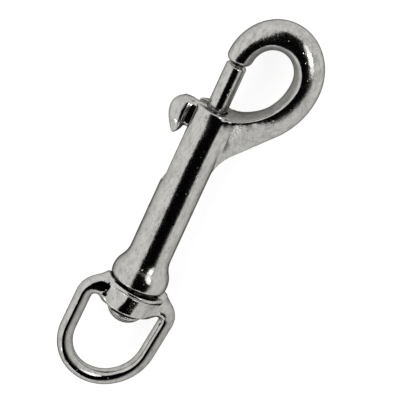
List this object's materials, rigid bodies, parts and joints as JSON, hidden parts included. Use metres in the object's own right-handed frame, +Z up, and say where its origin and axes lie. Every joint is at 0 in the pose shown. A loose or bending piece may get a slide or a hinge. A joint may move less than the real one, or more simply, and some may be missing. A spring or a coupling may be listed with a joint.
{
  "type": "swivel snap hook",
  "caption": "Polished cast-steel bolt snap: a tapered hook on a round barrel, shut by a sprung bolt with a thumb lever, with a D-shaped eye that turns on a swivel.",
  "frame": {"origin": "on the barrel's axis at the inside of the eye's bow, where a strap or ring bears", "axes": "+Y along the barrel's axis from the eye to the hook, +X from the barrel to the hook's curl, +Z up, square to the hook's plane, as the snap lies on a table"},
  "size_m": [0.0326, 0.102, 0.0138],
  "materials": {
    "polished_steel": "cast stainless steel, polished to a slightly uneven mirror, with a duller face inside the hook",
    "spring_steel": "drawn stainless spring wire"
  },
  "bodies": {
    "hook": {"hook_body": "polished_steel", "return_spring": "spring_steel"},
    "bolt": {"bolt": "polished_steel"},
    "eye": {"swivel_eye": "polished_steel"}
  },
  "joints": [
    {"name": "bolt_slide", "type": "slide", "parent": "hook", "child": "bolt", "axis": [0, -1, 0], "range_m": [0, 0.0144], "stiffness_N_per_m": 300, "springref_m": -0.004, "deforming": ["return_spring"]},
    {"name": "eye_swivel", "type": "hinge", "parent": "hook", "child": "eye", "pos_m": [0, 0.01995, 0], "axis": [0, 1, 0], "continuous": true}
  ]
}
